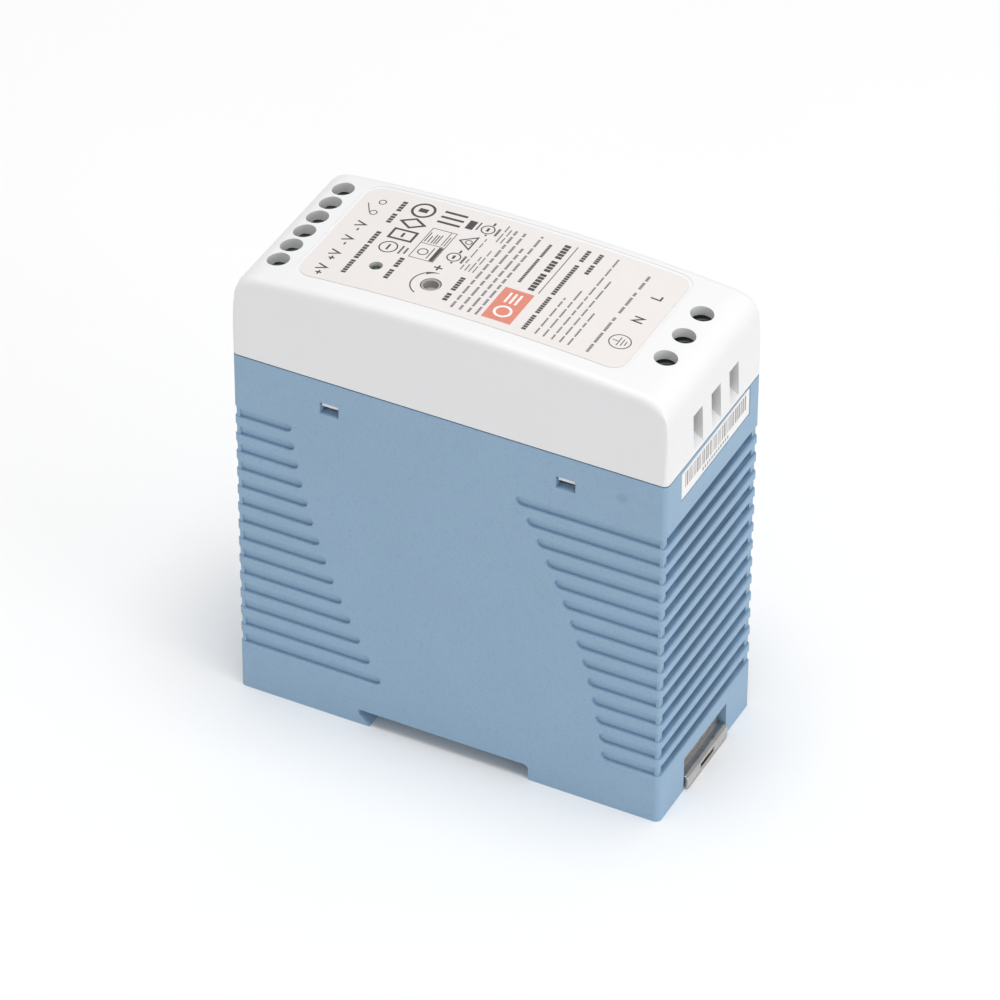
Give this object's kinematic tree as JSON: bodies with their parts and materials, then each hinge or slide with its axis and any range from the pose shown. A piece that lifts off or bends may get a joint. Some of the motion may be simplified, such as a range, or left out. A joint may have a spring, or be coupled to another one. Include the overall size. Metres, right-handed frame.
{
  "type": "din rail power supply",
  "caption": "Slim box power supply with grooved vented sides, a clip for a DIN rail, screw terminals at both front ends, a lamp and an adjusting trimmer.",
  "frame": {"origin": "middle of the rail side, in the plane that the rail feet stand on", "axes": "+Z from the rail to the front label, +X to the mains input end with the rail latch, -X to the output end, Y across the narrow width"},
  "size_m": [0.0907, 0.04, 0.1],
  "materials": {
    "blue_housing": "fine moulded grain, satin",
    "white_housing": "fine moulded grain, satin",
    "label_foil": "printed polyester, satin",
    "barcode_foil": "printed paper label",
    "zinc_plated_steel": "zinc plated, stamped",
    "spring_steel": "drawn wire",
    "screw_steel": "nickel plated",
    "cage_brass": "nickel plated brass",
    "terminal_plastic": "moulded polyamide",
    "board_laminate": "solder mask over glass laminate",
    "black_plastic": "moulded epoxy",
    "insulation_film": "thin polyester sheet",
    "lamp_lens": "tinted epoxy lens",
    "trimmer_housing": "moulded",
    "trimmer_grey": "moulded",
    "relay_plastic": "moulded",
    "thermistor_coating": "dipped",
    "blue_epoxy": "dipped epoxy",
    "capacitor_box": "moulded",
    "copper_wire": "enamelled copper wire",
    "bulk_sleeve": "shrunk sleeve",
    "dark_sleeve": "shrunk sleeve",
    "bare_aluminium": "punched sheet",
    "ferrite": "pressed ferrite",
    "winding_tape": "polyester tape over wire"
  },
  "bodies": {
    "housing": {"base_case": "blue_housing", "front_cover": "white_housing", "front_label": "label_foil", "barcode_label": "barcode_foil", "latch_spring": "spring_steel", "input_terminal_block": "terminal_plastic", "output_terminal_block": "terminal_plastic", "main_board": "board_laminate", "terminal_board": "board_laminate", "board_header": "black_plastic", "insulation_sheet": "insulation_film", "status_lamp": "lamp_lens", "trimmer_body": "trimmer_housing", "signal_relay": "relay_plastic", "fuse": "black_plastic", "inrush_thermistor": "thermistor_coating", "surge_varistor": "blue_epoxy", "line_filter_capacitor": "capacitor_box", "line_filter_choke": "copper_wire", "bridge_rectifier": "black_plastic", "bulk_capacitor": "bulk_sleeve", "switching_transistor": "black_plastic", "transistor_heat_sink": "bare_aluminium", "transformer_core": "ferrite", "transformer_bobbin": "black_plastic", "transformer_winding": "winding_tape", "output_diode": "black_plastic", "diode_heat_sink": "bare_aluminium", "output_capacitor_1": "dark_sleeve", "output_capacitor_2": "dark_sleeve", "output_capacitor_3": "dark_sleeve", "output_inductor": "copper_wire", "safety_capacitor": "blue_epoxy", "optocoupler": "black_plastic", "controller_chip": "black_plastic"},
    "rail_latch": {"din_latch": "zinc_plated_steel"},
    "trimmer": {"trimmer_shaft": "trimmer_grey"},
    "input_screw_1": {"input_screw_1": "screw_steel"},
    "input_cage_1": {"input_cage_1": "cage_brass"},
    "input_screw_2": {"input_screw_2": "screw_steel"},
    "input_cage_2": {"input_cage_2": "cage_brass"},
    "input_screw_3": {"input_screw_3": "screw_steel"},
    "input_cage_3": {"input_cage_3": "cage_brass"},
    "output_screw_1": {"output_screw_1": "screw_steel"},
    "output_cage_1": {"output_cage_1": "cage_brass"},
    "output_screw_2": {"output_screw_2": "screw_steel"},
    "output_cage_2": {"output_cage_2": "cage_brass"},
    "output_screw_3": {"output_screw_3": "screw_steel"},
    "output_cage_3": {"output_cage_3": "cage_brass"},
    "output_screw_4": {"output_screw_4": "screw_steel"},
    "output_cage_4": {"output_cage_4": "cage_brass"},
    "output_screw_5": {"output_screw_5": "screw_steel"},
    "output_cage_5": {"output_cage_5": "cage_brass"},
    "output_screw_6": {"output_screw_6": "screw_steel"},
    "output_cage_6": {"output_cage_6": "cage_brass"}
  },
  "joints": [
    {"name": "latch_slide", "type": "slide", "parent": "housing", "child": "rail_latch", "axis": [1, 0, 0], "range_m": [0, 0.0035], "stiffness_N_per_m": 800, "springref_m": -0.006, "deforming": ["latch_spring"]},
    {"name": "trimmer_turn", "type": "hinge", "parent": "housing", "child": "trimmer", "pos_m": [-0.0092, -0.00835, 0.09], "axis": [0, 0, 1], "range_deg": [-130, 130]},
    {"name": "input_screw_1_turn", "type": "hinge", "parent": "housing", "child": "input_screw_1", "pos_m": [0.03795, -0.00692, 0.09], "axis": [0, 0, -1], "range_deg": [0, 1800]},
    {"name": "input_cage_1_lift", "type": "slide", "parent": "housing", "child": "input_cage_1", "axis": [0, 0, 1], "range_m": [0, 0.0025]},
    {"name": "input_screw_2_turn", "type": "hinge", "parent": "housing", "child": "input_screw_2", "pos_m": [0.03795, 0.0007, 0.09], "axis": [0, 0, -1], "range_deg": [0, 1800]},
    {"name": "input_cage_2_lift", "type": "slide", "parent": "housing", "child": "input_cage_2", "axis": [0, 0, 1], "range_m": [0, 0.0025]},
    {"name": "input_screw_3_turn", "type": "hinge", "parent": "housing", "child": "input_screw_3", "pos_m": [0.03795, 0.00832, 0.09], "axis": [0, 0, -1], "range_deg": [0, 1800]},
    {"name": "input_cage_3_lift", "type": "slide", "parent": "housing", "child": "input_cage_3", "axis": [0, 0, 1], "range_m": [0, 0.0025]},
    {"name": "output_screw_1_turn", "type": "hinge", "parent": "housing", "child": "output_screw_1", "pos_m": [-0.03905, 0.0134, 0.09], "axis": [0, 0, -1], "range_deg": [0, 1800]},
    {"name": "output_cage_1_lift", "type": "slide", "parent": "housing", "child": "output_cage_1", "axis": [0, 0, 1], "range_m": [0, 0.00225]},
    {"name": "output_screw_2_turn", "type": "hinge", "parent": "housing", "child": "output_screw_2", "pos_m": [-0.03905, 0.00832, 0.09], "axis": [0, 0, -1], "range_deg": [0, 1800]},
    {"name": "output_cage_2_lift", "type": "slide", "parent": "housing", "child": "output_cage_2", "axis": [0, 0, 1], "range_m": [0, 0.00225]},
    {"name": "output_screw_3_turn", "type": "hinge", "parent": "housing", "child": "output_screw_3", "pos_m": [-0.03905, 0.00324, 0.09], "axis": [0, 0, -1], "range_deg": [0, 1800]},
    {"name": "output_cage_3_lift", "type": "slide", "parent": "housing", "child": "output_cage_3", "axis": [0, 0, 1], "range_m": [0, 0.00225]},
    {"name": "output_screw_4_turn", "type": "hinge", "parent": "housing", "child": "output_screw_4", "pos_m": [-0.03905, -0.00184, 0.09], "axis": [0, 0, -1], "range_deg": [0, 1800]},
    {"name": "output_cage_4_lift", "type": "slide", "parent": "housing", "child": "output_cage_4", "axis": [0, 0, 1], "range_m": [0, 0.00225]},
    {"name": "output_screw_5_turn", "type": "hinge", "parent": "housing", "child": "output_screw_5", "pos_m": [-0.03905, -0.00692, 0.09], "axis": [0, 0, -1], "range_deg": [0, 1800]},
    {"name": "output_cage_5_lift", "type": "slide", "parent": "housing", "child": "output_cage_5", "axis": [0, 0, 1], "range_m": [0, 0.00225]},
    {"name": "output_screw_6_turn", "type": "hinge", "parent": "housing", "child": "output_screw_6", "pos_m": [-0.03905, -0.012, 0.09], "axis": [0, 0, -1], "range_deg": [0, 1800]},
    {"name": "output_cage_6_lift", "type": "slide", "parent": "housing", "child": "output_cage_6", "axis": [0, 0, 1], "range_m": [0, 0.00225]}
  ],
  "couplings": [
    {"joint": "input_screw_1_turn", "follows": "input_cage_1_lift", "rad_per_m": 12566},
    {"joint": "input_screw_2_turn", "follows": "input_cage_2_lift", "rad_per_m": 12566},
    {"joint": "input_screw_3_turn", "follows": "input_cage_3_lift", "rad_per_m": 12566},
    {"joint": "output_screw_1_turn", "follows": "output_cage_1_lift", "rad_per_m": 13963},
    {"joint": "output_screw_2_turn", "follows": "output_cage_2_lift", "rad_per_m": 13963},
    {"joint": "output_screw_3_turn", "follows": "output_cage_3_lift", "rad_per_m": 13963},
    {"joint": "output_screw_4_turn", "follows": "output_cage_4_lift", "rad_per_m": 13963},
    {"joint": "output_screw_5_turn", "follows": "output_cage_5_lift", "rad_per_m": 13963},
    {"joint": "output_screw_6_turn", "follows": "output_cage_6_lift", "rad_per_m": 13963}
  ]
}
